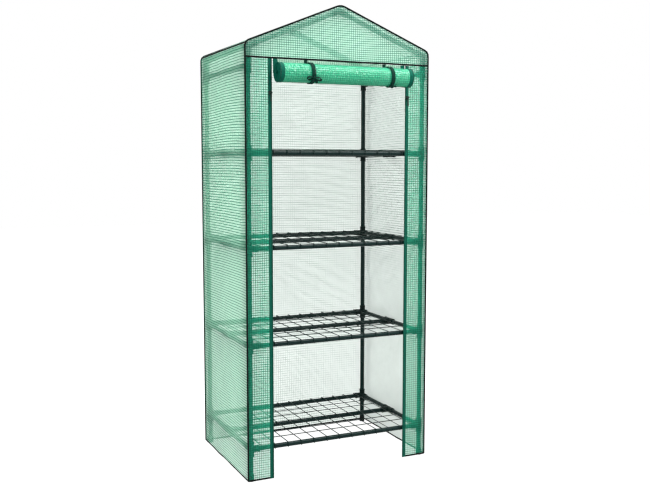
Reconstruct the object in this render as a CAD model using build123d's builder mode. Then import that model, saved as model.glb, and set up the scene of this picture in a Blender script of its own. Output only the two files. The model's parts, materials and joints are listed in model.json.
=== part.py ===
"""Four-tier shelving greenhouse with a gable roof and a roll-up mesh door.

A plug-together frame of steel tubes and moulded connectors carries four wire shelves, and a sewn mesh cover
drops over it. Millimetres, +Z up. The origin lies on the ground, under the middle of the whole object's box:
X runs across the width and the door faces -Y. Every sheet, seam and strap of the cover is its own solid.
"""

import math
import os

from build123d import *

# ---- Driving dimensions ------------------------------------------------------------------------------------
width = 690
depth = 490
height = 1600
roof_pitch = 22

tube_radius = 8
tube_wall = 0.6
post_inset = 17
rafter_inset = 17
tier_heights = (110, 462, 789, 1105)
eave_rail_height = 1388

socket_radius = 10.5
bore_radius = 8.05
collar_radius = 11.3
collar_width = 4
hub_radius = 11
hub_seam_turn = 180
arm_length = 30
sleeve_length = 25
socket_depth_start = 9
tube_end_gap = 0.5
sleeve_start = 11
eave_bore_top = 1430
eave_end_gap = 2.5
rafter_bore_start = 12

foot_radius = 10
foot_height = 22
foot_base = 3

wire_radius = 1.4
wire_lift = 1.7
weld_overlap = 0.4
cross_wire_count = 13
cross_wire_reach = 292
long_wire_rows = (57, 114, 172)
long_wire_reach = 316
hook_gap = 1.4
hook_depth = 6
hook_bend = 6

sheet = 1
piping_radius = 2.5
piping_gap = 0.2
eave_fillet = 20
apex_fillet = 40
ground_gap = 3
hem_top = 15
hem_thickness = 2.2
header_bottom = 1411
header_top = 1417
header_thickness = 3.2
tape_inner = 247
tape_outer = 267
tape_thickness = 1.6
coil_position = 257
coil_width = 3
coil_height = 1.2

roll_radius = 34
roll_core_radius = 6
roll_reach = 246.5
roll_height = 1365
roll_sheet_gap = 2
door_sheet_thickness = 1.2
tie_thickness = 1.2
tie_gap = 0.5
tie_width = 12
tie_positions = {"left": -130, "right": 165}
knot_size = (16, 8, 12)

slider_height = 1300
slider_size = (9, 5, 13)
slider_gap = 0.2
lug_radius = 2
lug_width = 1.6
lug_spread = 3.6
pin_radius = 0.9
pin_stand_off = 2.6
pull_eye_radius = 2.2
pull_hole_radius = 0.98
pull_width = 5
pull_thickness = 1.4
pull_length = 28

# ---- Places worked out from them ---------------------------------------------------------------------------
half_width = width / 2
half_depth = depth / 2
outline_x = half_width - piping_radius
outline_y = half_depth - piping_radius
post_x = half_width - post_inset
post_y = half_depth - post_inset

roll_offset = outline_y + door_sheet_thickness / 2 + roll_sheet_gap + roll_radius
tie_outer_radius = roll_radius + tie_gap + tie_thickness
knot_reach = tie_outer_radius + knot_size[1] - tie_thickness
front_reach = roll_offset + knot_reach
mid_y = (front_reach - half_depth) / 2

front_post_y = mid_y - post_y
back_post_y = mid_y + post_y
front_y = mid_y - outline_y
back_y = mid_y + outline_y
roll_y = mid_y - roll_offset

pitch_tan = math.tan(math.radians(roof_pitch))
pitch_cos = math.cos(math.radians(roof_pitch))
pitch_sin = math.sin(math.radians(roof_pitch))
apex_z = height - piping_radius + apex_fillet * (1 / pitch_cos - 1)
eave_z = apex_z - outline_x * pitch_tan
ridge_z = apex_z - rafter_inset / pitch_cos
elbow_z = ridge_z - post_x * pitch_tan
eave_fillet_depth = eave_fillet * (1 / math.cos(math.radians((90 - roof_pitch) / 2)) - 1)
eave_bisector = math.radians((90 + roof_pitch) / 2)
eave_piping_x = outline_x - eave_fillet_depth * math.sin(eave_bisector)
eave_piping_z = eave_z - eave_fillet_depth * math.cos(eave_bisector)

left_right = {"left": -1, "right": 1}
corners = {
    "front_left": (-post_x, front_post_y),
    "front_right": (post_x, front_post_y),
    "back_left": (-post_x, back_post_y),
    "back_right": (post_x, back_post_y),
}
tube_rows = {"front": front_post_y, "middle": mid_y, "back": back_post_y}
mid_plane = Plane.XZ.offset(-mid_y)
seam_gap = piping_radius + piping_gap

os.makedirs("parts", exist_ok=True)


# ---- Shapes used more than once ----------------------------------------------------------------------------
def write(piece, name):
    """Label a finished piece and write it to its own file."""
    piece.part.label = name
    export_step(piece.part, f"parts/{name}.step")


def tube(start, end):
    """Add a thin-walled steel tube between two points."""
    run = Vector(end) - Vector(start)
    with BuildSketch(Plane(origin=start, z_dir=run)) as ring:
        Circle(tube_radius)
        Circle(tube_radius - tube_wall, mode=Mode.SUBTRACT)
    extrude(ring.sketch, amount=run.length)


def cylinder_along(plane, radius, length, mode=Mode.ADD):
    """Add or cut a round bar that starts on a plane and runs along its normal."""
    with BuildSketch(plane) as disc:
        Circle(radius)
    extrude(disc.sketch, amount=length, mode=mode)


def across(x, y, z):
    """The upright plane through a point that faces along +X."""
    return Plane(origin=(x, y, z), x_dir=(0, 1, 0), z_dir=(1, 0, 0))


def connector(hub, arms):
    """Add one moulded fitting: a ball hub with a socket along each (direction, length, bore start)."""
    with Locations(hub):
        Sphere(hub_radius, rotation=(0, 0, hub_seam_turn))
    for direction, length, _ in arms:
        arm = Plane(origin=hub, z_dir=direction)
        cylinder_along(arm, socket_radius, length)
        cylinder_along(arm.offset(length - collar_width), collar_radius, collar_width)
    for direction, length, bore_start in arms:
        bore = Plane(origin=hub, z_dir=direction).offset(bore_start)
        cylinder_along(bore, bore_radius, length - bore_start, mode=Mode.SUBTRACT)


def mirror_to_four_corners():
    """Copy the front left piece of the open part to the other three corners."""
    mirror(about=Plane.YZ)
    mirror(about=mid_plane)


def outline_points(inset):
    """Corner points of the cover's cross-section, moved inwards from its piping line."""
    side = outline_x - inset
    top = apex_z - inset / pitch_cos
    shoulder = top - side * pitch_tan
    return [(-side, ground_gap), (-side, shoulder), (0, top), (side, shoulder), (side, ground_gap)]


def gable_face(inset, mode=Mode.ADD):
    """Add or cut the area inside the cover's cross-section, with its eaves and apex rounded."""
    with BuildLine() as outline:
        Polyline(*outline_points(inset), close=True)
        fillet(outline.vertices().group_by(Axis.Y)[-1], apex_fillet - inset)
        fillet(outline.vertices().group_by(Axis.Y)[1], eave_fillet - inset)
    make_face(outline.edges(), mode=mode)


def wrap(cut_low, cut_high):
    """Add the stretch of the side-and-roof sheet that lies in a box, freed from the eave piping."""
    with BuildSketch(mid_plane) as skin:
        gable_face(-sheet / 2)
        gable_face(sheet / 2, mode=Mode.SUBTRACT)
    extrude(skin.sketch, amount=outline_y - seam_gap, both=True)
    for side in (-1, 1):
        seam = Plane.XZ.offset(-mid_y - half_depth)
        eave = Plane(origin=seam.origin + Vector(side * eave_piping_x, 0, eave_piping_z), z_dir=(0, -1, 0))
        cylinder_along(eave, seam_gap, depth, mode=Mode.SUBTRACT)
    box_between(cut_low, cut_high, mode=Mode.INTERSECT)


def box_between(low, high, mode=Mode.ADD):
    """Add or cut a block between two opposite corners."""
    size = Vector(high) - Vector(low)
    with Locations((Vector(low) + Vector(high)) * 0.5):
        Box(*size, mode=mode)


def flat_panel(y, low, high):
    """Add a flat upright sheet of the cover, centred on y, between two (x, z) corners."""
    box_between((low[0], y - sheet / 2, low[1]), (high[0], y + sheet / 2, high[1]))


# ---- Frame: feet, posts and tiers --------------------------------------------------------------------------
with BuildPart() as foot_caps:
    foot = Plane(origin=(-post_x, front_post_y, 0))
    cylinder_along(foot, foot_radius, foot_height)
    cylinder_along(foot.offset(foot_base), bore_radius, foot_height - foot_base, mode=Mode.SUBTRACT)
    mirror_to_four_corners()
write(foot_caps, "foot_caps")

with BuildPart() as foot_tubes:
    foot_tube_bottom = foot_base + tube_end_gap / 2
    foot_tube_top = tier_heights[0] - socket_depth_start - tube_end_gap
    tube((-post_x, front_post_y, foot_tube_bottom), (-post_x, front_post_y, foot_tube_top))
    mirror_to_four_corners()
write(foot_tubes, "foot_tubes")

post_clearance = socket_depth_start + tube_end_gap
post_bottoms = [tier_height + post_clearance for tier_height in tier_heights]
post_tops = [tier_height - post_clearance for tier_height in tier_heights[1:]]
post_tops.append(eave_bore_top - eave_end_gap)
for corner, (x, y) in corners.items():
    with BuildPart() as post_tubes:
        for bottom, top in zip(post_bottoms, post_tops):
            tube((x, y, bottom), (x, y, top))
    write(post_tubes, f"{corner}_post_tubes")

with BuildPart() as corner_connector:
    connector(
        (-post_x, front_post_y, 0),
        [
            ((1, 0, 0), arm_length, socket_depth_start),
            ((0, 1, 0), arm_length, socket_depth_start),
            ((0, 0, 1), sleeve_length, socket_depth_start),
            ((0, 0, -1), sleeve_length, socket_depth_start),
        ],
    )
    mirror_to_four_corners()

with BuildPart() as tee_connector:
    connector(
        (-post_x, mid_y, 0),
        [
            ((1, 0, 0), arm_length, socket_depth_start),
            ((0, 1, 0), arm_length, socket_depth_start),
            ((0, -1, 0), arm_length, socket_depth_start),
        ],
    )
    mirror(about=Plane.YZ)

with BuildPart() as side_tube_set:
    tube((-post_x, front_post_y + post_clearance, 0), (-post_x, mid_y - post_clearance, 0))
    mirror_to_four_corners()

# One wire shelf: cross wires that hook over the front and back tubes, and long wires welded on top of them.
cross_wire_top = tube_radius + wire_lift
long_wire_top = cross_wire_top + 2 * wire_radius - weld_overlap
hook_y = post_y + tube_radius + hook_gap + wire_radius
with BuildPart() as cross_wire:
    with BuildLine(Plane.YZ) as cross_wire_path:
        Polyline(
            (mid_y - hook_y, -hook_depth),
            (mid_y - hook_y, cross_wire_top),
            (mid_y + hook_y, cross_wire_top),
            (mid_y + hook_y, -hook_depth),
        )
        fillet(vertices().group_by(Axis.Z)[-1], hook_bend)
    with BuildSketch(Plane(origin=cross_wire_path.line @ 0, z_dir=cross_wire_path.line % 0)):
        Circle(wire_radius)
    sweep()

with BuildPart() as shelf_grid:
    cross_wire_pitch = 2 * cross_wire_reach / (cross_wire_count - 1)
    with GridLocations(cross_wire_pitch, 1, cross_wire_count, 1):
        add(cross_wire.part)
    for row in long_wire_rows:
        for side in (-1, 1):
            wire_end = across(-long_wire_reach, mid_y + side * row, long_wire_top)
            cylinder_along(wire_end, wire_radius, 2 * long_wire_reach)

for number, tier_height in enumerate(tier_heights, start=1):
    with BuildPart() as tier_corner_connectors:
        with Locations((0, 0, tier_height)):
            add(corner_connector.part)
    write(tier_corner_connectors, f"tier_{number}_corner_connectors")

    with BuildPart() as tier_tee_connectors:
        with Locations((0, 0, tier_height)):
            add(tee_connector.part)
    write(tier_tee_connectors, f"tier_{number}_tee_connectors")

    with BuildPart() as tier_side_tubes:
        with Locations((0, 0, tier_height)):
            add(side_tube_set.part)
    write(tier_side_tubes, f"tier_{number}_side_tubes")

    for row, y in tube_rows.items():
        reach = post_x - post_clearance
        with BuildPart() as tier_tube:
            tube((-reach, y, tier_height), (reach, y, tier_height))
        write(tier_tube, f"tier_{number}_{row}_tube")

    with BuildPart() as wire_shelf:
        with Locations((0, 0, tier_height)):
            add(shelf_grid.part)
    write(wire_shelf, f"wire_shelf_{number}")

# ---- Frame: eaves, rafters and ridge -----------------------------------------------------------------------
rafter_start = rafter_bore_start + tube_end_gap
elbow = Vector(-post_x, front_post_y, elbow_z)
apex = Vector(0, front_post_y, ridge_z)
rafter_direction = (apex - elbow).normalized()

with BuildPart() as eave_connectors:
    sleeve_foot = eave_rail_height - sleeve_length
    rail_hub = Plane(origin=(-post_x, front_post_y, eave_rail_height), z_dir=(0, 1, 0))
    cylinder_along(Plane(origin=(-post_x, front_post_y, sleeve_foot)), socket_radius, elbow_z - sleeve_foot)
    cylinder_along(Plane(origin=(-post_x, front_post_y, sleeve_foot)), collar_radius, collar_width)
    cylinder_along(rail_hub, socket_radius, arm_length)
    cylinder_along(rail_hub.offset(arm_length - collar_width), collar_radius, collar_width)
    connector(elbow, [(rafter_direction, arm_length, rafter_bore_start)])
    cylinder_along(rail_hub.offset(sleeve_start), bore_radius, arm_length - sleeve_start, mode=Mode.SUBTRACT)
    cylinder_along(
        Plane(origin=(-post_x, front_post_y, sleeve_foot)),
        bore_radius,
        eave_bore_top - sleeve_foot,
        mode=Mode.SUBTRACT,
    )
    mirror_to_four_corners()
write(eave_connectors, "eave_connectors")

with BuildPart() as eave_side_tubes:
    rail_reach = post_y - sleeve_start - tube_end_gap
    tube((-post_x, mid_y - rail_reach, eave_rail_height), (-post_x, mid_y + rail_reach, eave_rail_height))
    mirror(about=Plane.YZ)
write(eave_side_tubes, "eave_side_tubes")

with BuildPart() as rafters:
    tube(elbow + rafter_direction * rafter_start, apex - rafter_direction * rafter_start)
    mirror_to_four_corners()
write(rafters, "rafters")

with BuildPart() as apex_connectors:
    connector(
        apex,
        [
            ((-pitch_cos, 0, -pitch_sin), arm_length, rafter_bore_start),
            ((pitch_cos, 0, -pitch_sin), arm_length, rafter_bore_start),
            ((0, 1, 0), arm_length, socket_depth_start),
        ],
    )
    mirror(about=mid_plane)
write(apex_connectors, "apex_connectors")

with BuildPart() as ridge_tube:
    tube((0, front_post_y + post_clearance, ridge_z), (0, back_post_y - post_clearance, ridge_z))
write(ridge_tube, "ridge_tube")

# ---- Cover: panels -----------------------------------------------------------------------------------------
panel_bottom = hem_top + piping_gap
panel_reach = outline_x - seam_gap
for side_name, side in left_right.items():
    near, far = sorted((side * (half_width + 1), side * (eave_piping_x - seam_gap)))
    with BuildPart() as wall:
        wrap((near, mid_y - half_depth, panel_bottom), (far, mid_y + half_depth, eave_piping_z))
    write(wall, f"{side_name}_wall")

with BuildPart() as roof:
    wrap((-half_width, mid_y - half_depth, eave_piping_z), (half_width, mid_y + half_depth, height))
write(roof, "roof")

with BuildPart() as back_panel:
    with BuildSketch(Plane.XZ.offset(-back_y)):
        gable_face(seam_gap)
    extrude(amount=sheet / 2, both=True)
    box_between(
        (-half_width, back_y - sheet, panel_bottom), (half_width, back_y + sheet, height), mode=Mode.INTERSECT
    )
write(back_panel, "back_panel")

with BuildPart() as front_gable:
    with BuildSketch(Plane.XZ.offset(-front_y)):
        gable_face(seam_gap)
    extrude(amount=sheet / 2, both=True)
    box_between(
        (-half_width, front_y - sheet, header_top + piping_gap),
        (half_width, front_y + sheet, height),
        mode=Mode.INTERSECT,
    )
write(front_gable, "front_gable")

for side_name, side in left_right.items():
    near, far = sorted((side * (tape_outer + piping_gap), side * panel_reach))
    with BuildPart() as strip:
        flat_panel(front_y, (near, panel_bottom), (far, header_bottom - piping_gap))
    write(strip, f"{side_name}_front_strip")

# ---- Cover: piping, bindings and zip tapes -----------------------------------------------------------------
with BuildPart() as gable_piping:
    with BuildLine(Plane.XZ.offset(-front_y)) as piping_path:
        Polyline(*outline_points(0))
        fillet(piping_path.vertices().group_by(Axis.Z)[-1], apex_fillet)
        fillet(piping_path.vertices().group_by(Axis.Z)[1], eave_fillet)
    with BuildSketch(Plane(origin=piping_path.line @ 0, z_dir=piping_path.line % 0)):
        Circle(piping_radius)
    sweep()
    mirror(about=mid_plane)
write(gable_piping, "gable_piping")

with BuildPart() as eave_piping:
    cord_reach = outline_y - seam_gap
    cord_start = Plane(origin=(-eave_piping_x, mid_y - cord_reach, eave_piping_z), z_dir=(0, 1, 0))
    cylinder_along(cord_start, piping_radius, 2 * cord_reach)
    mirror(about=Plane.YZ)
write(eave_piping, "eave_piping")

with BuildPart() as header_seam:
    box_between(
        (-panel_reach, front_y - header_thickness / 2, header_bottom),
        (panel_reach, front_y + header_thickness / 2, header_top),
    )
write(header_seam, "header_seam")

with BuildPart() as bottom_hem:
    half_hem = hem_thickness / 2
    side_reach = outline_y - seam_gap
    box_between((-panel_reach, back_y - half_hem, ground_gap), (panel_reach, back_y + half_hem, hem_top))
    for side in (-1, 1):
        box_between(
            (side * outline_x - half_hem, mid_y - side_reach, ground_gap),
            (side * outline_x + half_hem, mid_y + side_reach, hem_top),
        )
        near, far = sorted((side * (tape_outer + piping_gap), side * panel_reach))
        box_between((near, front_y - half_hem, ground_gap), (far, front_y + half_hem, hem_top))
write(bottom_hem, "bottom_hem")

tape_face_y = front_y - tape_thickness / 2
for side_name, side in left_right.items():
    near, far = sorted((side * tape_inner, side * tape_outer))
    coil_x = side * coil_position
    with BuildPart() as zip_tape:
        box_between(
            (near, tape_face_y, ground_gap), (far, front_y + tape_thickness / 2, header_bottom - piping_gap)
        )
        box_between(
            (coil_x - coil_width / 2, tape_face_y - coil_height, ground_gap),
            (coil_x + coil_width / 2, tape_face_y, header_bottom - piping_gap),
        )
    write(zip_tape, f"{side_name}_zip_tape")

# ---- Cover: zip sliders and pulls --------------------------------------------------------------------------
slider_back_y = tape_face_y - coil_height - slider_gap
slider_front_y = slider_back_y - slider_size[1]
pin_y = slider_front_y - pin_stand_off
pin_z = slider_height
for side_name, side in left_right.items():
    slider_x = side * coil_position
    with BuildPart() as zip_slider:
        box_between(
            (slider_x - slider_size[0] / 2, slider_front_y, slider_height - slider_size[2] / 2),
            (slider_x + slider_size[0] / 2, slider_back_y, slider_height + slider_size[2] / 2),
        )
        fillet(edges().filter_by(Axis.Y), slider_size[0] / 4)
        for lug_side in (-1, 1):
            lug_start = slider_x + lug_side * lug_spread - lug_width / 2
            cylinder_along(across(lug_start, pin_y, pin_z), lug_radius, lug_width)
            box_between(
                (lug_start, pin_y, pin_z - lug_radius),
                (lug_start + lug_width, slider_front_y, pin_z + lug_radius),
            )
        cylinder_along(across(slider_x - lug_spread, pin_y, pin_z), pin_radius, 2 * lug_spread)
    write(zip_slider, f"{side_name}_zip_slider")

    with BuildPart() as zip_pull:
        with BuildSketch(Plane.YZ.offset(slider_x)):
            with Locations((pin_y, pin_z)):
                Circle(pull_eye_radius)
            with Locations((pin_y, pin_z - pull_length / 2)):
                Rectangle(pull_thickness, pull_length)
            with Locations((pin_y, pin_z)):
                Circle(pull_hole_radius, mode=Mode.SUBTRACT)
        extrude(amount=pull_width / 2, both=True)
    write(zip_pull, f"{side_name}_zip_pull")

# ---- Cover: door -------------------------------------------------------------------------------------------
with BuildPart() as door_sheet:
    door_reach = tape_inner - piping_gap
    box_between(
        (-door_reach, front_y - door_sheet_thickness / 2, roll_height),
        (door_reach, front_y + door_sheet_thickness / 2, header_bottom - piping_gap),
    )
write(door_sheet, "door_sheet")

with BuildPart() as door_roll:
    roll_end = across(-roll_reach, roll_y, roll_height)
    cylinder_along(roll_end, roll_radius, 2 * roll_reach)
    cylinder_along(roll_end, roll_core_radius, 2 * roll_reach, mode=Mode.SUBTRACT)
write(door_roll, "door_roll")

strap_back_y = roll_y + tie_outer_radius
for side_name, x in tie_positions.items():
    tie_start = across(x - tie_width / 2, roll_y, roll_height)
    with BuildPart() as door_tie:
        cylinder_along(tie_start, tie_outer_radius, tie_width)
        box_between(
            (x - tie_width / 2, strap_back_y - tie_thickness, roll_height),
            (x + tie_width / 2, strap_back_y, header_bottom - piping_gap),
        )
        box_between(
            (x - knot_size[0] / 2, roll_y - knot_reach, roll_height - knot_size[2] / 2),
            (x + knot_size[0] / 2, roll_y - roll_radius - tie_gap, roll_height + knot_size[2] / 2),
        )
        cylinder_along(
            tie_start.offset(-knot_size[0]),
            roll_radius + tie_gap,
            tie_width + 2 * knot_size[0],
            mode=Mode.SUBTRACT,
        )
    write(door_tie, f"{side_name}_door_tie")
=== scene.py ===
"""Looks of the mesh-covered greenhouse: sewn net-film cover, rolled door, zips and ties over the CAD frame.

Metres, in the part's own frame: +Z up, X across the width, and the door faces -Y. Sheets are grids of points
whose rows and columns are the threads of the net, so every thread is real geometry that follows each wrinkle.
"""

import json
import math
import random
from collections import namedtuple

import bpy
import numpy as np
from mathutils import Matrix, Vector


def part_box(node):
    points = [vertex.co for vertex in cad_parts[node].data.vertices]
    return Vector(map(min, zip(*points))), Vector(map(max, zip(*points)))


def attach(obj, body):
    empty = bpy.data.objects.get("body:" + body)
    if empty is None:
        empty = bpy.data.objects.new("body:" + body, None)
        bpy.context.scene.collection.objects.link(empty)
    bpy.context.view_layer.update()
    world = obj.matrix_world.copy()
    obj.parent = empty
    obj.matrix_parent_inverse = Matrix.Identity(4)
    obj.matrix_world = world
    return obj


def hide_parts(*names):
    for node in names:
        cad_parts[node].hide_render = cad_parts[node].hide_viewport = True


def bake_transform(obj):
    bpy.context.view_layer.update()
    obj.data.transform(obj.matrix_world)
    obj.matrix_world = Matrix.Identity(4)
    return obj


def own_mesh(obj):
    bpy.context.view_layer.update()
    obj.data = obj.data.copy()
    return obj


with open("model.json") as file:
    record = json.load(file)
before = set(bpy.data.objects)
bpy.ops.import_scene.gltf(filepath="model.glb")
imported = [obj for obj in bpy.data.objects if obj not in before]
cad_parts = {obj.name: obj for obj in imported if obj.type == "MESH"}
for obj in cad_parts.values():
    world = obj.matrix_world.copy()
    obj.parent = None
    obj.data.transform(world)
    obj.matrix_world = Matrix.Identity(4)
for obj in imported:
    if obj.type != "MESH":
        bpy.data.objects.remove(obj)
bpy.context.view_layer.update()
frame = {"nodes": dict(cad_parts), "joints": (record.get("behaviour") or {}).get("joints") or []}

# ---- Sizes of the soft goods ---------------------------------------------------------------------
MM = 0.001
PIPING_RADIUS = 2.5 * MM
CORD_RADIUS = 3 * MM
CORD_SIDES = 10
ROOF_PITCH = math.radians(22)
EAVE_ROUND = 20 * MM
APEX_ROUND = 40 * MM

NET_PITCH = 8 * MM
GABLE_PITCH = 7.4 * MM
WALL_PITCH = 9.1 * MM
ROW_WIDTH = 1.6 * MM
COLUMN_WIDTH = 1.2 * MM
WALL_ROW_WIDTH = 2.4 * MM
WALL_COLUMN_WIDTH = 0.5 * MM
THREAD_LIFT = 0.25 * MM

CRINKLE_RELIEF = 1.2 * MM
FOLD_RELIEF = 9 * MM
FORWARD_SHARE = 0.88
GLOSS_DRIFT = 0.08
FILM_ROUGHNESS = 0.22
FILM_IOR = 1.38

WAVE_COUNT = 26
SLACK_LIFT = 2 * MM
CREASE_LIFT = 0.9 * MM
FULLNESS = 0.8 * MM
WRINKLE_IN = 2.2 * MM
WRINKLE_OUT = 4.5 * MM
EDGE_HOLD = 45 * MM
NET_SAG = 1.8 * MM

RIDGE_SHARE = 0.3
STITCH_PITCH = 4.5 * MM
STITCH_LENGTH = 3.2 * MM
STITCH_WIDTH = 0.8 * MM
STITCH_HEIGHT = 0.5 * MM
SEAM_INSET = 6 * MM
SEAM_LIFT = 1.2 * MM
STITCH_SINK = 0.1 * MM

HEM_HEIGHT = 6 * MM
HEM_STEPS = 60
STRIP_OVERLAP = 3 * MM
TAPE_WIDTH = 14 * MM
TAPE_THICKNESS = 1 * MM
TOOTH_PITCH = 2.4 * MM
TOOTH_REACH = 3.4 * MM
TOOTH_WIDTH = 1.5 * MM
TOOTH_HEIGHT = 1.3 * MM

ROLL_TURNS = 10
ROLL_SEGMENTS = 26
ROLL_CORE = 7 * MM
ROLL_BAND = 15 * MM
BAND_FRONT = 0.6 * MM
BAND_BACK = -0.5 * MM
TIE_WIDTH = 13 * MM
TIE_THICKNESS = 1.1 * MM
STRING_WIDTH = 9 * MM
STRING_THICKNESS = 2.4 * MM
BOW_LOOPS = ((-24 * MM, 1 * MM), (25 * MM, 4 * MM))
BOW_TAILS = ((-9 * MM, 20 * MM), (13 * MM, 17 * MM))
KNOT_TAILS = ((16 * MM, 4 * MM), (5 * MM, 13 * MM))

# ---- Places, read from the frame -----------------------------------------------------------------
piping_low, piping_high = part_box("gable_piping")
FRONT_Y = piping_low.y + PIPING_RADIUS
BACK_Y = piping_high.y - PIPING_RADIUS
SIDE_X = piping_high.x - PIPING_RADIUS
APEX_Z = piping_high.z - PIPING_RADIUS + APEX_ROUND * (1 / math.cos(ROOF_PITCH) - 1)

header_low, header_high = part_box("header_seam")
HEADER_Z = (header_low.z + header_high.z) / 2
hem_low, hem_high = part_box("bottom_hem")
HEM_Z = hem_low.z + HEM_HEIGHT / 2
STRIP_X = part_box("right_front_strip")[0].x - STRIP_OVERLAP
TAPE_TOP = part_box("right_zip_tape")[1].z

roll_low, roll_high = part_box("door_roll")
ROLL_CENTRE = (roll_low + roll_high) / 2
ROLL_RADIUS = (roll_high.z - roll_low.z) / 2
ROLL_REACH = roll_high.x
DOOR_LOW, DOOR_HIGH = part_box("door_sheet")
DOOR_TRAVEL = next(j for j in frame["joints"] if j["name"] == "door_unroll")["range_m"][1]


# ---- Node materials ------------------------------------------------------------------------------
class Shader:
    """A material's node tree, filled one node per call."""

    def __init__(self, name):
        self.material = bpy.data.materials.new(name)
        self.material.use_nodes = True
        self.tree = self.material.node_tree
        self.tree.nodes.clear()
        self.output = self.tree.nodes.new("ShaderNodeOutputMaterial")

    def add(self, kind, inputs=None, **settings):
        """Add a node. Inputs go by name or number, and each is a value or another node's socket."""
        node = self.tree.nodes.new("ShaderNode" + kind)
        for key, value in settings.items():
            setattr(node, key, value)
        for key, value in (inputs or {}).items():
            if isinstance(value, bpy.types.NodeSocket):
                self.tree.links.new(value, node.inputs[key])
            else:
                node.inputs[key].default_value = value
        return node

    def place(self):
        """Coordinates that stay with the object."""
        return self.add("TexCoord").outputs["Object"]

    def noise(self, scale, detail=3):
        """Soft noise from 0 to 1."""
        inputs = {"Vector": self.place(), "Scale": scale, "Detail": detail}
        return self.add("TexNoise", inputs).outputs["Fac"]

    def blend(self, share, first, second):
        """A colour between two others."""
        mix = self.add("Mix", {0: share}, data_type="RGBA")
        for socket, value in ((mix.inputs["A"], first), (mix.inputs["B"], second)):
            if isinstance(value, bpy.types.NodeSocket):
                self.tree.links.new(value, socket)
            else:
                socket.default_value = (*value, 1)
        return mix.outputs["Result"]

    def spread(self, value, low, high):
        """Map a 0 to 1 value onto a range."""
        return self.add("MapRange", {"Value": value, "To Min": low, "To Max": high}).outputs["Result"]

    def times(self, first, second):
        """The product of two values."""
        return self.add("Math", {0: first, 1: second}, operation="MULTIPLY").outputs[0]

    def bump(self, height, distance, normal=None):
        """A relief from a 0 to 1 height and its depth in metres, on top of another relief if given."""
        inputs = {"Height": height, "Distance": distance}
        if normal is not None:
            inputs["Normal"] = normal
        return self.add("Bump", inputs).outputs["Normal"]

    def finish(self, surface):
        """Put a shader on the material and return the material."""
        self.tree.links.new(surface, self.output.inputs["Surface"])
        return self.material


FilmFace = namedtuple("FilmFace", "clear_tint milky_tint least_haze most_haze gloss")


def film_material(name, outside, inside):
    """Frosted net film, drawn apart for its two faces. Its milky part scatters light to both sides. The tints
    and haze of each face are painted light, set to how bright the film looks where it hangs.
    """
    s = Shader(name)
    patches = s.noise(7, detail=4)
    crinkle = s.noise(60, detail=5)
    folds = s.noise(11, detail=2)
    side = s.add("NewGeometry").outputs["Backfacing"]
    clear_tint = s.blend(side, outside.clear_tint, inside.clear_tint)
    milky_tint = s.blend(side, outside.milky_tint, inside.milky_tint)
    least_haze = s.spread(side, outside.least_haze, inside.least_haze)
    most_haze = s.spread(side, outside.most_haze, inside.most_haze)
    share = s.spread(patches, least_haze, most_haze)
    relief = s.bump(crinkle, CRINKLE_RELIEF, normal=s.bump(folds, FOLD_RELIEF))
    clear = s.add("BsdfTransparent", {"Color": clear_tint}).outputs[0]
    diffuse = s.add("BsdfDiffuse", {"Color": milky_tint, "Normal": relief}).outputs[0]
    translucent = s.add("BsdfTranslucent", {"Color": milky_tint, "Normal": relief}).outputs[0]
    milky = s.add("MixShader", {0: FORWARD_SHARE, 1: diffuse, 2: translucent}).outputs[0]
    body = s.add("MixShader", {0: share, 1: clear, 2: milky}).outputs[0]
    gloss = s.add("BsdfGlossy", {"Roughness": FILM_ROUGHNESS, "Normal": relief}).outputs[0]
    fresnel = s.add("Fresnel", {"IOR": FILM_IOR, "Normal": relief}).outputs[0]
    shine = s.times(fresnel, s.spread(side, outside.gloss, inside.gloss))
    return s.finish(s.add("MixShader", {0: shine, 1: body, 2: gloss}).outputs[0])


def thread_material(name, outside, inside):
    """Green monofilament, pale where it is seen through the film from inside."""
    s = Shader(name)
    fine = s.noise(900)
    side = s.add("NewGeometry").outputs["Backfacing"]
    colour = s.blend(side, s.blend(fine, *outside), s.blend(fine, *inside))
    inputs = {
        "Base Color": colour,
        "Roughness": s.spread(fine, 0.35, 0.55),
        "Normal": s.bump(fine, 0.1 * MM),
        "Specular IOR Level": 0.15,
    }
    return s.finish(s.add("BsdfPrincipled", inputs).outputs[0])


def surface_material(name, dark, light, roughness, grain, relief, detail=3, shine=0.15):
    """An opaque finish whose colour, gloss and relief vary with a grain of so many bumps a metre."""
    s = Shader(name)
    patches = s.noise(9, detail=4)
    fine = s.noise(grain, detail)
    colour = s.blend(s.times(patches, fine), dark, light)
    inputs = {
        "Base Color": colour,
        "Roughness": s.spread(patches, roughness - GLOSS_DRIFT, roughness + GLOSS_DRIFT),
        "Normal": s.bump(fine, relief),
        "Specular IOR Level": shine,
    }
    return s.finish(s.add("BsdfPrincipled", inputs).outputs[0])


def webbing_material(name, dark, light, ribs):
    """Woven tape: crossed ribs, so many a metre, over soft shading."""
    s = Shader(name)
    waves = []
    for direction in ("X", "Y", "Z"):
        wave = s.add(
            "TexWave",
            {"Vector": s.place(), "Scale": ribs / math.tau, "Distortion": 0.3, "Detail": 1},
            bands_direction=direction,
        )
        waves.append(wave.outputs["Fac"])
    weave = s.add("Math", {0: s.times(waves[0], waves[1]), 1: waves[2]}, operation="ADD").outputs[0]
    colour = s.blend(s.spread(weave, 0.1, 0.9), dark, light)
    inputs = {
        "Base Color": colour,
        "Roughness": 0.62,
        "Normal": s.bump(weave, 0.25 * MM),
        "Specular IOR Level": 0.08,
    }
    return s.finish(s.add("BsdfPrincipled", inputs).outputs[0])


# Painted light: one net film is given its own tints and haze per panel and for its inner face. The walls are
# paler for the sheen of their grazing reflection, the gable brighter for the lit roof seen behind it, the
# strips deeper for the darker inside behind them, and the inner face greyer and paler to match how the inside
# walls look.
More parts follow.
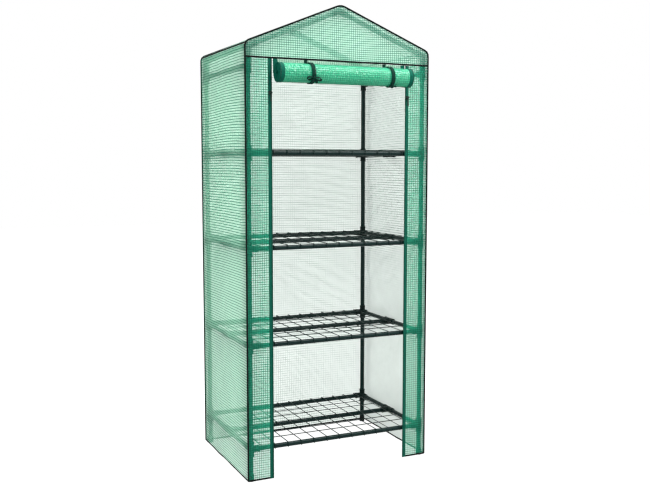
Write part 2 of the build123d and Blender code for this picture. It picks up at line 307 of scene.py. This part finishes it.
INNER_FILM_PAINTED_LIGHT = FilmFace((0.91, 0.93, 0.91), (0.79, 0.87, 0.83), 0.42, 0.58, 0.3)
WALL_FILM_PAINTED_SHEEN = FilmFace((0.98, 1.0, 0.97), (0.46, 0.94, 0.66), 0.50, 0.70, 0.4)
STRIP_FILM_PAINTED_SHADE = FilmFace((1.0, 1.0, 0.98), (0.06, 0.88, 0.52), 0.36, 0.54, 0.35)
GABLE_FILM_PAINTED_LIGHT = FilmFace((0.98, 1.0, 0.97), (0.54, 1.0, 0.78), 0.64, 0.80, 0.4)
film = film_material("net_film_painted_sheen", WALL_FILM_PAINTED_SHEEN, INNER_FILM_PAINTED_LIGHT)
strip_film_painted_shade = film_material("strip_film_painted_shade", STRIP_FILM_PAINTED_SHADE, INNER_FILM_PAINTED_LIGHT)
gable_film_painted_light = film_material("gable_film_painted_light", GABLE_FILM_PAINTED_LIGHT, INNER_FILM_PAINTED_LIGHT)
thread = thread_material(
    "net_thread",
    outside=((0.0, 0.08, 0.045), (0.0, 0.18, 0.11)),
    # the inside colours are painted haze: paler than the thread's own dark green, for the film's scattered
    # light in front of it
    inside=((0.09, 0.18, 0.14), (0.17, 0.29, 0.23)),
)
roll_film = surface_material(
    "rolled_film", (0.01, 0.34, 0.16), (0.04, 0.64, 0.34), 0.2, 120, 5 * MM, detail=5, shine=1.0
)
roll_thread = surface_material("rolled_thread", (0.0, 0.17, 0.09), (0.01, 0.30, 0.17), 0.35, 900, 0.1 * MM)
binding = webbing_material("black_binding", (0.0005, 0.002, 0.0015), (0.003, 0.009, 0.007), 900)
zip_cloth = webbing_material("zip_cloth", (0.0, 0.05, 0.03), (0.0, 0.11, 0.07), 1100)
tie_cloth = webbing_material("tie_cloth", (0.0, 0.012, 0.008), (0.0, 0.035, 0.022), 1300)
zip_teeth = surface_material("zip_teeth", (0.0, 0.03, 0.02), (0.0, 0.08, 0.05), 0.35, 700, 0.1 * MM)
sewing = surface_material("sewing_thread", (0.002, 0.015, 0.01), (0.01, 0.04, 0.03), 0.6, 2500, 0.1 * MM)

FRAME_RECIPES = (
    ("connector", "moulded_plastic", (0.0005, 0.006, 0.005), (0.003, 0.018, 0.015), 0.5, 1500, 0.12, 0.15),
    ("foot_caps", "foot_rubber", (0.004, 0.006, 0.006), (0.02, 0.024, 0.023), 0.7, 900, 0.25, 0.15),
    ("wire_shelf", "dipped_wire", (0.0005, 0.007, 0.006), (0.003, 0.02, 0.017), 0.35, 420, 0.35, 0.15),
    ("zip_slider", "slider_metal", (0.003, 0.015, 0.01), (0.02, 0.05, 0.04), 0.32, 800, 0.1, 0.15),
    ("zip_pull", "pull_plastic", (0.003, 0.015, 0.01), (0.02, 0.05, 0.04), 0.42, 900, 0.1, 0.15),
    ("", "powder_coat", (0.0005, 0.009, 0.008), (0.002, 0.024, 0.021), 0.27, 1300, 0.15, 0.2),
)
FRAME_FINISHES = {
    part: surface_material(name, dark, light, roughness, grain, relief * MM, shine=shine)
    for part, name, dark, light, roughness, grain, relief, shine in FRAME_RECIPES
}


# ---- Mesh building -------------------------------------------------------------------------------
def unit(vectors):
    """Vectors of length 1, with nothing left where a vector has no length."""
    length = np.linalg.norm(vectors, axis=-1, keepdims=True)
    return vectors / np.maximum(length, 1e-9)


class Builder:
    """Collects grids of points into one mesh object with several materials."""

    def __init__(self):
        self.points, self.faces, self.slots = [], [], []
        self.count = 0

    def faces_from(self, points, faces, slot):
        """Add points and the faces between them, leaving out faces without area."""
        corners = points[faces]
        first = np.cross(corners[:, 1] - corners[:, 0], corners[:, 2] - corners[:, 0])
        second = np.cross(corners[:, 2] - corners[:, 0], corners[:, 3] - corners[:, 0])
        sound = np.linalg.norm(first, axis=1) + np.linalg.norm(second, axis=1) > 1e-9
        self.points.append(points)
        self.faces.append(faces[sound] + self.count)
        self.slots.append(np.full(sound.sum(), slot))
        self.count += len(points)

    def grid(self, points, slot=0, keep=None):
        """Add a sheet of quads through a rectangular array of points."""
        n, m = points.shape[:2]
        index = np.arange(n * m).reshape(n, m)
        faces = np.stack([index[:-1, :-1], index[1:, :-1], index[1:, 1:], index[:-1, 1:]], axis=-1)
        faces = faces[keep] if keep is not None else faces.reshape(-1, 4)
        self.faces_from(points.reshape(-1, 3), faces, slot)

    def sweep(self, path, profile, side, slot=0):
        """Carry a closed profile of (sideways, upwards) points along a path, given the sideways direction."""
        along = unit(np.gradient(path, axis=0))
        side = np.broadcast_to(np.asarray(side, float), path.shape)
        side = unit(side - along * np.sum(side * along, axis=1, keepdims=True))
        up = np.cross(along, side)
        ring = np.vstack([profile, profile[:1]])
        points = path[:, None] + side[:, None] * ring[None, :, :1] + up[:, None] * ring[None, :, 1:]
        self.grid(points, slot)
        for end, step in ((points[0, :-1], 1), (points[-1, :-1], -1)):
            centre = end.mean(axis=0)
            order = end[::step]
            cap = np.stack([order, np.roll(order, -1, axis=0), np.broadcast_to(centre, end.shape)], axis=1)
            caps = np.concatenate([cap, cap[:, 2:]], axis=1).reshape(-1, 3)
            self.triangles(caps.reshape(-1, 4, 3)[:, :3], slot)

    def triangles(self, corners, slot):
        """Add separate triangles."""
        points = corners.reshape(-1, 3)
        faces = np.arange(len(points)).reshape(-1, 3)
        self.points.append(points)
        self.faces.append(faces + self.count)
        self.slots.append(np.full(len(faces), slot))
        self.count += len(points)

    def ridges(self, centres, along, outward, length, width, height, slot):
        """Add small hipped ridges: stitches of a seam, or teeth of a zip."""
        across = unit(np.cross(outward, along))
        half_along = along * length / 2
        half_across = across * width / 2
        signs = ((-1, -1), (1, -1), (1, 1), (-1, 1))
        base = [centres + s * half_along + t * half_across for s, t in signs]
        top = [centres + s * along * length * RIDGE_SHARE + outward * height for s in (-1, 1)]
        points = np.stack(base + top, axis=1).reshape(-1, 3)
        hips = np.array([(0, 1, 5, 4), (2, 3, 4, 5), (1, 2, 5, 5), (3, 0, 4, 4)])
        faces = (np.arange(len(centres))[:, None, None] * 6 + hips[None]).reshape(-1, 4)
        whole = faces[np.tile([True, True, False, False], len(centres))]
        ends = faces[np.tile([False, False, True, True], len(centres))]
        self.faces_from(points, whole, slot)
        self.triangles(points[ends[:, :3]], slot)

    def stitches(self, path, outward, slot):
        """Add a row of stitches along a path."""
        centres, along = spaced(path, STITCH_PITCH)
        outward = np.broadcast_to(np.asarray(outward, float), centres.shape)
        self.ridges(centres, along, outward, STITCH_LENGTH, STITCH_WIDTH, STITCH_HEIGHT, slot)

    def piece(self, name, *materials):
        """Make the collected mesh an object."""
        mesh = bpy.data.meshes.new(name)
        faces = [face for group in self.faces for face in group.tolist()]
        mesh.from_pydata(np.concatenate(self.points).tolist(), [], faces)
        mesh.polygons.foreach_set("material_index", np.concatenate(self.slots).astype(np.int32))
        mesh.polygons.foreach_set("use_smooth", [True] * len(faces))
        mesh.update()
        made = bpy.data.objects.new(name, mesh)
        bpy.context.scene.collection.objects.link(made)
        for material in materials:
            made.data.materials.append(material)
        return made


def spaced(path, pitch):
    """Evenly spaced points along a path, and its direction at each."""
    steps = np.linalg.norm(np.diff(path, axis=0), axis=1)
    run = np.concatenate([[0], np.cumsum(steps)])
    places = np.arange(pitch / 2, run[-1], pitch)
    points = np.stack([np.interp(places, run, path[:, k]) for k in range(3)], axis=1)
    ahead = np.stack([np.interp(places + pitch / 8, run, path[:, k]) for k in range(3)], axis=1)
    behind = np.stack([np.interp(places - pitch / 8, run, path[:, k]) for k in range(3)], axis=1)
    return points, unit(ahead - behind)


def line(start, end, count):
    """Points on a straight line."""
    share = np.linspace(0, 1, count)[:, None]
    return np.asarray(start, float) * (1 - share) + np.asarray(end, float) * share


def rounded_bar(width, thickness, corner=0.35):
    """Profile of a flat bar with softened corners, as (sideways, upwards) points."""
    w, t = width / 2, thickness / 2
    c = corner * thickness
    right = [(w - c, -t), (w, -t + c), (w, t - c), (w - c, t)]
    left = [(-w + c, t), (-w, t - c), (-w, -t + c)]
    return np.array([(-w + c, -t)] + right + left)


def circle(radius, sides):
    """Profile of a round cord."""
    turn = np.linspace(0, math.tau, sides, endpoint=False)
    return np.stack([radius * np.cos(turn), radius * np.sin(turn)], axis=1)


def ripple(seed, u, v, shortest, longest):
    """A smooth random field over a sheet, of about unit height: waves of random length and direction."""
    draw = random.Random(seed)
    total, power = 0.0, 0.0
    for _ in range(WAVE_COUNT):
        length = shortest * (longest / shortest) ** draw.random()
        turn = draw.uniform(0, math.pi)
        phase = draw.uniform(0, math.tau)
        size = length / longest
        total = total + size * np.sin(math.tau * (u * math.cos(turn) + v * math.sin(turn)) / length + phase)
        power += size * size / 2
    return total / math.sqrt(power)


def edge_hold(u, v):
    """1 inside a sheet, falling to 0 at its edges."""
    hold = 1.0
    for w in (u, v):
        for edge in (w - w.min(), w.max() - w):
            hold = hold * np.clip(edge / EDGE_HOLD, 0, 1) ** 0.7
    return hold


def sag(seed, u, v):
    """How far the net's rows droop within their sheet."""
    return NET_SAG * ripple(seed, u, v, shortest=0.3, longest=0.9) * edge_hold(u, v)


def wrinkle(seed, u, v):
    """How far a slack sheet stands out from flat at (u, v), held at its edges."""
    slack = ripple(seed, u, v, shortest=0.16, longest=0.7)
    creases = 1 - 2 * np.abs(ripple(seed + 1, u, v, shortest=0.08, longest=0.35))
    lift = SLACK_LIFT * slack + CREASE_LIFT * creases + FULLNESS
    reach = np.where(lift > 0, WRINKLE_OUT, WRINKLE_IN)
    return reach * np.tanh(lift / reach) * edge_hold(u, v)


def steps(start, end, pitch=NET_PITCH):
    """Thread places from start to end, at the net's pitch."""
    return np.linspace(start, end, max(2, round(abs(end - start) / pitch) + 1))


# ---- The cover's cross-section -------------------------------------------------------------------
def arc(centre, radius, start, end):
    """Points of an arc, angles in degrees from +X."""
    turn = np.radians(np.linspace(start, end, 12))
    return np.stack([centre[0] + radius * np.cos(turn), centre[1] + radius * np.sin(turn)], axis=1)


def cross_section():
    """(x, z) points from the bottom left corner of the cover over its roof to the bottom right."""
    pitch = math.degrees(ROOF_PITCH)
    shoulder_z = APEX_Z - SIDE_X * math.tan(ROOF_PITCH)
    setback = EAVE_ROUND * math.tan(math.radians((90 - pitch) / 2))
    eave = arc((EAVE_ROUND - SIDE_X, shoulder_z - setback), EAVE_ROUND, 180, 90 + pitch)
    apex = arc((0, APEX_Z - APEX_ROUND / math.cos(ROOF_PITCH)), APEX_ROUND, 90 + pitch, 90)
    left = np.vstack([[(-SIDE_X, HEM_Z)], eave, apex])
    right = left[-2::-1] * (-1, 1)
    return np.vstack([left, right]), eave


OUTLINE, EAVE_ARC = cross_section()
RUN = np.concatenate([[0], np.cumsum(np.linalg.norm(np.diff(OUTLINE, axis=0), axis=1))])
WHOLE_RUN = RUN[-1]
EAVE_RUN = RUN[1] + (RUN[len(EAVE_ARC)] - RUN[1]) / 2


def outline_at(run):
    """(x, z) on the cross-section after so much length."""
    return np.stack([np.interp(run, RUN, OUTLINE[:, k]) for k in (0, 1)], axis=-1)


def top_at(x):
    """Height of the cross-section over a place across the width."""
    half = OUTLINE[1 : len(OUTLINE) // 2 + 1]
    return np.interp(-np.abs(x), half[:, 0], half[:, 1])


# ---- Net sheets ----------------------------------------------------------------------------------
def add_net(mesh, points, inside=None, row_width=ROW_WIDTH, column_width=COLUMN_WIDTH):
    """Add one curved film with a raised thread along each row and column of its points."""
    along_u = unit(np.gradient(points, axis=0))
    along_v = unit(np.gradient(points, axis=1))
    normal = unit(np.cross(along_u, along_v))
    lifted = points + THREAD_LIFT * normal
    mesh.grid(points, 0)
    for i in range(1, points.shape[0] - 1):
        edge = along_u[i] * column_width / 2
        mesh.grid(np.stack([lifted[i] - edge, lifted[i] + edge]), 1)
    for j in range(1, points.shape[1] - 1):
        edge = along_v[:, j] * row_width / 2
        keep = None
        if inside is not None:
            keep = (inside[:-1, j] | inside[1:, j])[:, None]
        mesh.grid(np.stack([lifted[:, j] - edge, lifted[:, j] + edge], axis=1), 1, keep)


def cover_piece(mesh, name, slot, *materials):
    """Make a mesh the looks of the cover node of the same name."""
    made = mesh.piece(name + "_cloth", *materials)
    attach(made, "cover")
    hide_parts(name)


def wrapped_sheet(name, seed, start, end):
    """A sheet that wraps part of the cross-section, from the back of the cover to its front."""
    run = steps(start, end, WALL_PITCH)
    y = steps(BACK_Y, FRONT_Y)
    u, v = np.meshgrid(y, run, indexing="ij")
    lift = wrinkle(seed, u, v)
    run_at = v + sag(seed + 2, u, v)
    middle = outline_at(run_at)
    ahead = unit(outline_at(run_at + 2 * MM) - outline_at(run_at - 2 * MM))
    x = middle[..., 0] - ahead[..., 1] * lift
    z = middle[..., 1] + ahead[..., 0] * lift
    mesh = Builder()
    points = np.stack([x, u, z], axis=-1)
    add_net(mesh, points, row_width=WALL_ROW_WIDTH, column_width=WALL_COLUMN_WIDTH)
    cover_piece(mesh, name, "cover_mesh", film, thread)


def flat_sheet(name, seed, y, outward, ends, bottom, top=None, row_pitch=NET_PITCH, sheet_film=film):
    """An upright sheet between two ends across the width. Without a top, the gable cuts it."""
    x = steps(*ends)
    z = steps(bottom, top if top is not None else APEX_Z, row_pitch)
    u, v = np.meshgrid(x, z, indexing="ij")
    lift = wrinkle(seed, u, v)
    drift = sag(seed + 2, u, v)
    inside = None
    if top is None:
        limit = top_at(u)
        inside = v < limit
        hold = np.clip((limit - v) / EDGE_HOLD, 0, 1)
        lift = lift * hold
        v = np.minimum(v, limit)
        drift = drift * hold
    v = v + drift
    mesh = Builder()
    add_net(mesh, np.stack([u, y + outward * lift, v], axis=-1), inside)
    cover_piece(mesh, name, "cover_mesh", sheet_film, thread)


wrapped_sheet("left_wall", 11, 0, EAVE_RUN)
wrapped_sheet("roof", 23, EAVE_RUN, WHOLE_RUN - EAVE_RUN)
wrapped_sheet("right_wall", 37, WHOLE_RUN - EAVE_RUN, WHOLE_RUN)
flat_sheet("back_panel", 41, BACK_Y, 1, (SIDE_X, -SIDE_X), HEM_Z, row_pitch=WALL_PITCH)
flat_sheet(
    "front_gable", 53, FRONT_Y, -1, (-SIDE_X, SIDE_X), HEADER_Z, row_pitch=GABLE_PITCH, sheet_film=gable_film_painted_light
)
flat_sheet("left_front_strip", 61, FRONT_Y, -1, (-SIDE_X, -STRIP_X), HEM_Z, HEADER_Z, sheet_film=strip_film_painted_shade)
flat_sheet("right_front_strip", 67, FRONT_Y, -1, (STRIP_X, SIDE_X), HEM_Z, HEADER_Z, sheet_film=strip_film_painted_shade)


# ---- Piping, seam and hem ------------------------------------------------------------------------
def inset_outline(inset):
    """The cross-section moved inwards, as (x, z) points."""
    ahead = unit(np.gradient(OUTLINE, axis=0))
    return OUTLINE + inset * np.stack([ahead[:, 1], -ahead[:, 0]], axis=1)


def in_plane(points, y):
    """(x, z) points at one place along the depth."""
    return np.stack([points[:, 0], np.full(len(points), y), points[:, 1]], axis=1)


def dense(path, pitch):
    """The same path with points at an even pitch, ends kept."""
    return np.vstack([path[:1], spaced(path, pitch)[0], path[-1:]])


def gable_piping():
    """Fabric-wrapped cords round the front and back edges, each with a sewn row inside it."""
    mesh = Builder()
    for y, outward in ((FRONT_Y, -1), (BACK_Y, 1)):
        path = dense(in_plane(OUTLINE, y), 10 * MM)
        mesh.sweep(path, circle(CORD_RADIUS, CORD_SIDES), (0, outward, 0))
        seam = in_plane(inset_outline(SEAM_INSET), y + outward * SEAM_LIFT)
        mesh.stitches(seam, (0, outward, 0), 1)
    cover_piece(mesh, "gable_piping", "binding", binding, sewing)


def eave_piping():
    """Cords along both eaves, from front to back."""
    mesh = Builder()
    for run in (EAVE_RUN, WHOLE_RUN - EAVE_RUN):
        x, z = outline_at(run)
        path = line((x, FRONT_Y, z), (x, BACK_Y, z), 40)
        mesh.sweep(path, circle(CORD_RADIUS, CORD_SIDES), (0, 0, 1))
    cover_piece(mesh, "eave_piping", "binding", binding)


def header_seam():
    """The bound seam over the door, with a stitched row near each edge."""
    mesh = Builder()
    reach = SIDE_X - PIPING_RADIUS
    height = header_high.z - header_low.z
    thickness = header_high.y - header_low.y
    path = line((-reach, FRONT_Y, HEADER_Z), (reach, FRONT_Y, HEADER_Z), 90)
    path[:, 2] += 0.5 * MM * ripple(71, path[:, 0], 0, 0.1, 0.5)
    mesh.sweep(path, rounded_bar(height, thickness), (0, 0, 1))
    for shift in (-0.3, 0.3):
        row = path + np.array((0, STITCH_SINK - thickness / 2, shift * height))
        mesh.stitches(row, (0, -1, 0), 1)
    cover_piece(mesh, "header_seam", "binding", binding, sewing)


def bottom_hem():
    """The folded tape that binds the bottom edge, open at the door."""
    mesh = Builder()
    thickness = hem_high.x - SIDE_X + 1.1 * MM
    corners = [
        (-STRIP_X, FRONT_Y),
        (-SIDE_X, FRONT_Y),
        (-SIDE_X, BACK_Y),
        (SIDE_X, BACK_Y),
        (SIDE_X, FRONT_Y),
        (STRIP_X, FRONT_Y),
    ]
    outwards = [(0, -1), (-1, 0), (0, 1), (1, 0), (0, -1)]
    for number, (start, end, outward) in enumerate(zip(corners, corners[1:], outwards)):
        path = line((*start, HEM_Z), (*end, HEM_Z), HEM_STEPS)
        out = np.array((*outward, 0.0))
        share = np.linspace(0, 1, HEM_STEPS)
        wave = 0.6 * MM * ripple(80 + number, share * 0.7, 0, 0.08, 0.3) * np.sin(math.pi * share)
        path = path + out * wave[:, None]
        mesh.sweep(path, rounded_bar(HEM_HEIGHT, thickness), (0, 0, 1))
        for shift in (-0.25, 0.3):
            row = path + out * (thickness / 2 - STITCH_SINK) + np.array((0, 0, shift * HEM_HEIGHT))
            mesh.stitches(row, out, 1)
    cover_piece(mesh, "bottom_hem", "binding", binding, sewing)


gable_piping()
eave_piping()
header_seam()
bottom_hem()


# ---- Zips ----------------------------------------------------------------------------------------
def zip_tape(name, side):
    """The strip's half of a zip: woven tape, its row of teeth and the stitches that hold it."""
    mesh = Builder()
    face = FRONT_Y - TAPE_THICKNESS / 2
    centre = side * (STRIP_X - TAPE_WIDTH / 2)
    path = line((centre, FRONT_Y, hem_low.z), (centre, FRONT_Y, TAPE_TOP), 120)
    mesh.sweep(path, rounded_bar(TAPE_WIDTH, TAPE_THICKNESS), (1, 0, 0))
    teeth = np.array((side * (STRIP_X - TAPE_WIDTH + TOOTH_REACH / 2), face, 0.0))
    rail = line(teeth + (0, 0, hem_low.z), teeth + (0, 0, TAPE_TOP), 2)
    centres, along = spaced(rail, TOOTH_PITCH)
    sideways = np.broadcast_to(np.array((1.0, 0, 0)), centres.shape)
    outward = np.broadcast_to(np.array((0, -1.0, 0)), centres.shape)
    mesh.ridges(centres, sideways, outward, TOOTH_REACH, TOOTH_WIDTH, TOOTH_HEIGHT, 1)
    for inset in (2 * MM, TAPE_WIDTH - TOOTH_REACH - 2 * MM):
        seam_x = side * (STRIP_X - inset)
        mesh.stitches(line((seam_x, face, hem_low.z), (seam_x, face, TAPE_TOP), 2), (0, -1, 0), 2)
    cover_piece(mesh, name, "zip_tape", zip_cloth, zip_teeth, sewing)


zip_tape("left_zip_tape", -1)
zip_tape("right_zip_tape", 1)


# ---- Door ----------------------------------------------------------------------------------------
def unrolled_drop(share):
    """How far below its top a point of the lowered door sheet hangs, by its share of the rest height."""
    height = DOOR_HIGH.z - DOOR_LOW.z
    return share * height + (3 * share**2 - 2 * share**3) * DOOR_TRAVEL


def share_at(drop):
    """The share of the rest height that hangs so far down on the lowered door."""
    shares = np.linspace(0, 1, 4000)
    return np.interp(drop, unrolled_drop(shares), shares)


def door_sheet():
    """The hanging part of the door, gathered at rest so that its net is square once the door is down."""
    mesh = Builder()
    height = DOOR_HIGH.z - DOOR_LOW.z
    drops = steps(0, height + DOOR_TRAVEL)
    x = steps(-ROLL_REACH, ROLL_REACH)

    def sheet(x, drops, y):
        """Points of the door sheet at places across it and below its top."""
        u, v = np.meshgrid(x, DOOR_HIGH.z - share_at(drops) * height, indexing="ij")
        return np.stack([u, np.full(u.shape, y), v], axis=-1)

    thread_y = FRONT_Y - THREAD_LIFT
    mesh.grid(sheet(x, drops[::-1], FRONT_Y), 0)
    for place in x[1:-1]:
        mesh.grid(sheet(place + np.array([-0.5, 0.5]) * COLUMN_WIDTH, drops[::-1], thread_y), 1)
    for drop in drops[1:-1]:
        mesh.grid(sheet(x, drop + np.array([0.5, -0.5]) * ROW_WIDTH, thread_y), 1)
    for side in (-1, 1):
        edge = np.sort(side * np.array([ROLL_REACH - ROLL_BAND, ROLL_REACH]))
        for y, order in ((FRONT_Y - 0.5 * MM, drops[::-1]), (FRONT_Y + 0.3 * MM, drops)):
            mesh.grid(sheet(edge, order, y), 2)
    made = mesh.piece("door_sheet_cloth", film, thread, zip_cloth)
    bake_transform(made)
    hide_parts("door_sheet")


def door_roll():
    """The rolled part of the door: a spiral of net film with its zip tapes rolled up at both ends."""
    mesh = Builder()
    outer = ROLL_RADIUS - 0.9 * MM

    def coil(x, turns, lift=0.0):
        """Points of the roll at places across the door and after so many turns from its outer edge."""
        u, v = np.meshgrid(x, turns, indexing="ij")
        radius = outer - (outer - ROLL_CORE) * v / ROLL_TURNS + lift
        dent = ripple(91, u, (v % 1) * 0.2, 0.09, 0.4) * np.clip(1 - v / 3, 0, 1)
        nipped = sum(np.exp(-(((u - tie) / (14 * MM)) ** 2)) for tie in TIE_PLACES.values())
        radius = radius - 0.5 * MM * np.abs(dent) - 0.8 * MM * nipped * np.clip(1 - v / 2, 0, 1)
        turn = v * math.tau
        y = ROLL_CENTRE.y + radius * np.cos(turn)
        z = ROLL_CENTRE.z - radius * np.sin(turn)
        return np.stack([u, y, z], axis=-1)

    inner_edge = ROLL_REACH - ROLL_BAND
    outer_turns = np.linspace(0, 1.5, round(1.5 * ROLL_SEGMENTS) + 1)
    add_net(mesh, coil(steps(-inner_edge, inner_edge), outer_turns))
    every_turn = np.linspace(0, ROLL_TURNS, ROLL_TURNS * ROLL_SEGMENTS + 1)
    for side in (-1, 1):
        band = np.sort(side * np.linspace(inner_edge - 1 * MM, ROLL_REACH, 4))
        mesh.grid(coil(band, every_turn, BAND_FRONT), 2)
        mesh.grid(coil(band[::-1], every_turn, BAND_BACK), 2)
        rim = np.array([side * ROLL_REACH])
        edges = np.concatenate([coil(rim, every_turn, lift) for lift in (BAND_FRONT, BAND_BACK)])
        mesh.grid(edges if side < 0 else edges[::-1], 2)
        teeth_rail = coil(np.array([side * (ROLL_REACH - TOOTH_REACH / 2)]), outer_turns, BAND_FRONT)[0]
        centres, along = spaced(teeth_rail, TOOTH_PITCH)
        outward = centres - np.array((0, ROLL_CENTRE.y, ROLL_CENTRE.z)) * (0, 1, 1)
        outward[:, 0] = 0
        sideways = np.broadcast_to(np.array((1.0, 0, 0)), centres.shape)
        mesh.ridges(centres, sideways, unit(outward), TOOTH_REACH, TOOTH_WIDTH, TOOTH_HEIGHT * 0.6, 3)
    made = mesh.piece("door_roll_cloth", roll_film, roll_thread, zip_cloth, zip_teeth)
    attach(made, "door_roll")
    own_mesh(made)
    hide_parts("door_roll")


def around_roll(x, degrees, radius):
    """Points round the roll. 0 degrees faces the door, 90 is under the roll and 180 is its front."""
    turn = np.radians(np.asarray(degrees, float))
    y = ROLL_CENTRE.y + radius * np.cos(turn)
    z = ROLL_CENTRE.z - radius * np.sin(turn)
    return np.stack([np.broadcast_to(x, y.shape), y, z], axis=-1)


def loop_path(knot, outward, downward, reach, droop, rise):
    """One loop of a bow: out from the knot, round and back, standing a little off the roll."""
    share = np.linspace(0, 1, 28)[:, None]
    swell = np.sin(math.pi * share)
    across = np.array((reach, 0, 0)) * swell
    opening = np.sin(math.tau * share) * 5.5 * MM
    return knot + across + downward * (opening + droop * swell) + outward * (rise * swell)


def tail_path(knot, outward, downward, reach, drop):
    """One loose end of a tie, hanging from its knot."""
    share = np.linspace(0, 1, 16)[:, None]
    across = np.array((reach, 0, 0)) * share
    return knot + across + downward * (drop * share**1.3) + outward * (3 * MM * np.sin(math.pi * share))


def door_tie(name, x, knot_angle, bow):
    """A woven tie: sewn into the header seam, passed round the roll and knotted at its front."""
    mesh = Builder()
    ring_radius = ROLL_RADIUS + 0.7 * MM
    tape = rounded_bar(TIE_WIDTH, TIE_THICKNESS)
    ring = around_roll(x, np.linspace(-10, 370, 90), ring_radius)
    ring[:, 0] += 1.5 * MM * np.sin(np.linspace(0, math.tau, 90))
    mesh.sweep(ring, tape, (1, 0, 0))
    back = ROLL_CENTRE.y + ring_radius + TIE_THICKNESS / 2
    strap = line((x, back, header_low.z), (x, back - 0.6 * MM, ROLL_CENTRE.z), 12)
    mesh.sweep(strap, tape, (1, 0, 0))
    turn = math.radians(knot_angle)
    outward = np.array((0, math.cos(turn), -math.sin(turn)))
    downward = np.array((0, math.sin(turn), math.cos(turn)))
    downward = downward if downward[2] < 0 else -downward
    knot = around_roll(x, [knot_angle], ring_radius + 2.6 * MM)[0]
    wraps = np.linspace(0, math.tau, 22)[:, None]
    knot_ring = knot + downward * 4.5 * MM * np.cos(wraps) + outward * 3 * MM * np.sin(wraps)
    mesh.sweep(knot_ring, rounded_bar(7 * MM, 2.2 * MM, 0.45), (1, 0, 0))
    string = rounded_bar(STRING_WIDTH, STRING_THICKNESS)
    if bow:
        for reach, droop in BOW_LOOPS:
            mesh.sweep(loop_path(knot, outward, downward, reach, droop, 3 * MM), string, outward)
    for reach, drop in BOW_TAILS if bow else KNOT_TAILS:
        flat_side = (1, 0, 0) if abs(drop) > abs(reach) else outward
        mesh.sweep(tail_path(knot, outward, downward, reach, drop), string, flat_side)
    made = mesh.piece(name + "_cloth", tie_cloth)
    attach(made, "cover")
    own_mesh(made)
    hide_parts(name)


TIE_PLACES = {}
for tie_name in ("left_door_tie", "right_door_tie"):
    tie_low, tie_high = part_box(tie_name)
    TIE_PLACES[tie_name] = (tie_low.x + tie_high.x) / 2

door_sheet()
door_roll()
door_tie("left_door_tie", TIE_PLACES["left_door_tie"], knot_angle=152, bow=True)
door_tie("right_door_tie", TIE_PLACES["right_door_tie"], knot_angle=128, bow=False)


# ---- Finishes of the frame -----------------------------------------------------------------------
for node_name, cad_object in frame["nodes"].items():
    finish = next(made for key, made in FRAME_FINISHES.items() if key in node_name)
    cad_object.data.materials.clear()
    cad_object.data.materials.append(finish)


# ---- Stage ---------------------------------------------------------------------------------------
def floor():
    """A pale floor, as bright as the studio behind it."""
    s = Shader("studio_floor")
    shade = s.add("BsdfDiffuse", {"Color": (0.9, 0.9, 0.9, 1)}).outputs[0]
    seen = s.add("LightPath").outputs["Is Camera Ray"]
    glow = s.add("Emission", {"Strength": s.spread(seen, 0.5, 1.12)}).outputs[0]
    material = s.finish(s.add("MixShader", {0: 0.8, 1: shade, 2: glow}).outputs[0])
    mesh = Builder()
    reach = 12.0
    near = [(-reach, -reach, 0.0), (-reach, reach, 0.0)]
    far = [(reach, -reach, 0.0), (reach, reach, 0.0)]
    mesh.grid(np.array([near, far]))
    mesh.piece("studio_floor", material)


def studio_light(name, place, target, size, power):
    """One soft area light of a width and height."""
    data = bpy.data.lights.new(name, "AREA")
    data.shape = "RECTANGLE"
    data.size, data.size_y = size
    data.energy = power
    made = bpy.data.objects.new(name, data)
    made.location = place
    made.rotation_euler = (Vector(target) - Vector(place)).to_track_quat("-Z", "Y").to_euler()
    bpy.context.scene.collection.objects.link(made)


def studio_world(level, mirrored):
    """An even white surround, dimmer where a glossy surface mirrors it."""
    world = bpy.data.worlds.new("studio")
    world.use_nodes = True
    tree = world.node_tree
    path = tree.nodes.new("ShaderNodeLightPath")
    strength = tree.nodes.new("ShaderNodeMapRange")
    strength.inputs["To Min"].default_value = level
    strength.inputs["To Max"].default_value = mirrored
    tree.links.new(path.outputs["Is Glossy Ray"], strength.inputs["Value"])
    tree.links.new(strength.outputs["Result"], tree.nodes["Background"].inputs["Strength"])
    tree.nodes["Background"].inputs["Color"].default_value = (1, 1, 1, 1)
    bpy.context.scene.world = world


def camera(place, yaw, pitch, lens):
    """The camera, turned from +Y towards +X by yaw and up by pitch, in degrees."""
    data = bpy.data.cameras.new("camera")
    data.lens = lens
    made = bpy.data.objects.new("camera", data)
    made.location = place
    made.rotation_euler = (math.radians(90 + pitch), 0, math.radians(-yaw))
    bpy.context.scene.collection.objects.link(made)
    bpy.context.scene.camera = made


floor()
studio_world(level=1.0, mirrored=0.45)
middle = (0, (FRONT_Y + BACK_Y) / 2, 0.8)
studio_light("key", (1.0, -1.4, 3.2), (0, FRONT_Y, 1.2), (3.0, 0.5), 75)
studio_light("side", (-3.0, -0.6, 1.4), middle, (1.2, 2.2), 60)
studio_light("fill", (2.6, -1.8, 1.6), middle, (1.6, 1.6), 45)
studio_light("back", (0.6, 3.0, 2.2), middle, (2.0, 2.0), 25)
studio_light("top", (0, 1.2, 5.8), (0, 0, 1.6), (3.6, 3.6), 400)
camera((-1.2895, -2.8692, 1.0705), yaw=24.78, pitch=-5.33, lens=47.8)
bpy.context.scene.view_settings.view_transform = "Standard"
bpy.context.scene.cycles.filter_width = 1.3
